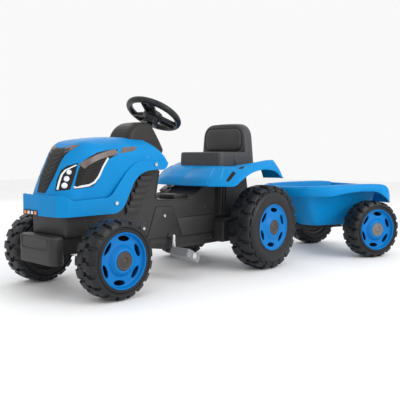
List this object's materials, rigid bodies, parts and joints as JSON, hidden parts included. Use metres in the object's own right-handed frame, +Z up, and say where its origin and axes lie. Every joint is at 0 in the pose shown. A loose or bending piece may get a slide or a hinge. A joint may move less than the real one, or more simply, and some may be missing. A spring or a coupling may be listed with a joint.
{
  "type": "pedal tractor with trailer",
  "caption": "Child's pedal tractor with chain drive, steered front wheels, sliding seat and a hitched trailer.",
  "frame": {"origin": "centre of the whole object's footprint box, on the ground", "axes": "+X runs rearward along the tractor, +Y to the tractor's right, +Z up"},
  "size_m": [1.389, 0.6264, 0.527],
  "materials": {
    "blue_shell": "moulded polyethylene, satin gloss",
    "blue_rim": "moulded polyethylene, satin",
    "tyre": "blow-moulded hard plastic, satin black",
    "hub_cap": "dark brown-grey moulded plastic",
    "chassis": "fine-grained moulded plastic",
    "seat": "grained blow-moulded plastic",
    "steering_wheel": "fine-grained moulded plastic",
    "trim_dark": "printed trim film",
    "trim_silver": "printed silver trim",
    "lamp_lens": "printed lamp face",
    "amber_lens": "printed amber lamp",
    "pedal": "light grey moulded plastic",
    "steel": "zinc-plated steel"
  },
  "bodies": {
    "frame": {"chassis_left": "chassis", "chassis_right": "chassis", "front_weight": "chassis", "front_axle_beam": "steel", "kingpins": "steel", "column_bearings": "chassis", "dash_cowl": "chassis", "bonnet": "blue_shell", "bonnet_grille": "trim_dark", "indicator_lamps": "amber_lens", "headlamps": "trim_dark", "side_vents": "trim_dark", "vent_trims": "trim_silver", "headlamp_lenses": "lamp_lens", "bonnet_screws": "steel", "crank_covers": "chassis", "chassis_screws": "steel", "chain": "steel", "bearing_bushes": "chassis", "mudguard_right": "blue_shell", "mudguard_left": "blue_shell", "mudguard_inlays": "trim_dark", "hitch_bracket": "steel", "hitch_pin": "steel"},
    "steering": {"steering_column": "steering_wheel", "steering_wheel": "steering_wheel"},
    "horn": {"horn_button": "steering_wheel"},
    "track_rod": {"tie_rod": "steel"},
    "knuckle_l": {"knuckle_left": "steel"},
    "knuckle_r": {"knuckle_right": "steel"},
    "front_wheel_l": {"front_tyre_left": "tyre", "front_rim_left": "blue_rim", "front_cap_left": "hub_cap"},
    "front_wheel_r": {"front_tyre_right": "tyre", "front_rim_right": "blue_rim", "front_cap_right": "hub_cap"},
    "rear_drive": {"rear_axle": "steel", "rear_sprocket": "steel", "rear_tyre_left": "tyre", "rear_rim_left": "blue_rim", "rear_cap_left": "hub_cap"},
    "rear_wheel_r": {"rear_tyre_right": "tyre", "rear_rim_right": "blue_rim", "rear_cap_right": "hub_cap"},
    "cranks": {"crank": "steel", "chainring": "steel"},
    "pedal_l": {"pedal_left": "pedal"},
    "pedal_r": {"pedal_right": "pedal"},
    "seat_slide_body": {"seat": "seat", "seat_clamp": "chassis"},
    "trailer": {"trailer_tub": "blue_shell", "trailer_drawbar": "chassis", "trailer_axle": "steel"},
    "trailer_wheel_l": {"trailer_tyre_left": "tyre", "trailer_rim_left": "blue_rim"},
    "trailer_wheel_r": {"trailer_tyre_right": "tyre", "trailer_rim_right": "blue_rim"}
  },
  "joints": [
    {"name": "steering_turn", "type": "hinge", "parent": "frame", "child": "steering", "pos_m": [-0.28652, 0.08496, 0.479], "axis": [0.5, 0, 0.866], "range_deg": [-35, 35]},
    {"name": "horn_push", "type": "slide", "parent": "steering", "child": "horn", "axis": [0.5, 0, 0.866], "range_m": [-0.003, 0], "stiffness_N_per_m": 300},
    {"name": "track_rod_slide", "type": "slide", "parent": "frame", "child": "track_rod", "axis": [0, 1, 0], "range_m": [-0.0193, 0.0193]},
    {"name": "knuckle_l_turn", "type": "hinge", "parent": "frame", "child": "knuckle_l", "pos_m": [-0.57251, -0.02004, 0.099], "axis": [0, 0, 1], "range_deg": [-25.1, 25.1]},
    {"name": "knuckle_r_turn", "type": "hinge", "parent": "frame", "child": "knuckle_r", "pos_m": [-0.57251, 0.18996, 0.099], "axis": [0, 0, 1], "range_deg": [-25.1, 25.1]},
    {"name": "front_wheel_l_spin", "type": "hinge", "parent": "knuckle_l", "child": "front_wheel_l", "pos_m": [-0.57251, -0.08204, 0.099], "axis": [0, 1, 0], "continuous": true},
    {"name": "front_wheel_r_spin", "type": "hinge", "parent": "knuckle_r", "child": "front_wheel_r", "pos_m": [-0.57251, 0.25196, 0.099], "axis": [0, 1, 0], "continuous": true},
    {"name": "rear_axle_spin", "type": "hinge", "parent": "frame", "child": "rear_drive", "pos_m": [0.01549, 0.08496, 0.132], "axis": [0, 1, 0], "continuous": true},
    {"name": "rear_wheel_r_spin", "type": "hinge", "parent": "frame", "child": "rear_wheel_r", "pos_m": [0.01549, 0.26796, 0.132], "axis": [0, 1, 0], "continuous": true},
    {"name": "crank_spin", "type": "hinge", "parent": "frame", "child": "cranks", "pos_m": [-0.28152, 0.08496, 0.12], "axis": [0, 1, 0], "continuous": true},
    {"name": "pedal_l_spin", "type": "hinge", "parent": "cranks", "child": "pedal_l", "pos_m": [-0.28152, -0.04004, 0.071], "axis": [0, 1, 0], "continuous": true},
    {"name": "pedal_r_spin", "type": "hinge", "parent": "cranks", "child": "pedal_r", "pos_m": [-0.28152, 0.20996, 0.169], "axis": [0, 1, 0], "continuous": true},
    {"name": "seat_slide", "type": "slide", "parent": "frame", "child": "seat_slide_body", "axis": [1, 0, 0], "range_m": [-0.03, 0.03]},
    {"name": "hitch_turn", "type": "hinge", "parent": "frame", "child": "trailer", "pos_m": [0.14499, 0.08496, 0.118], "axis": [0, 0, 1], "range_deg": [-22, 68]},
    {"name": "trailer_wheel_l_spin", "type": "hinge", "parent": "trailer", "child": "trailer_wheel_l", "pos_m": [0.44827, -0.24475, 0.099], "axis": [0.3907, 0.9205, 0], "continuous": true},
    {"name": "trailer_wheel_r_spin", "type": "hinge", "parent": "trailer", "child": "trailer_wheel_r", "pos_m": [0.59284, 0.09584, 0.099], "axis": [0.3907, 0.9205, 0], "continuous": true}
  ],
  "couplings": [
    {"joint": "knuckle_l_turn", "follows": "steering_turn", "ratio": 0.71429},
    {"joint": "knuckle_r_turn", "follows": "steering_turn", "ratio": 0.71429},
    {"joint": "track_rod_slide", "follows": "steering_turn", "m_per_rad": 0.031267},
    {"joint": "crank_spin", "follows": "rear_axle_spin", "ratio": 0.72727}
  ]
}
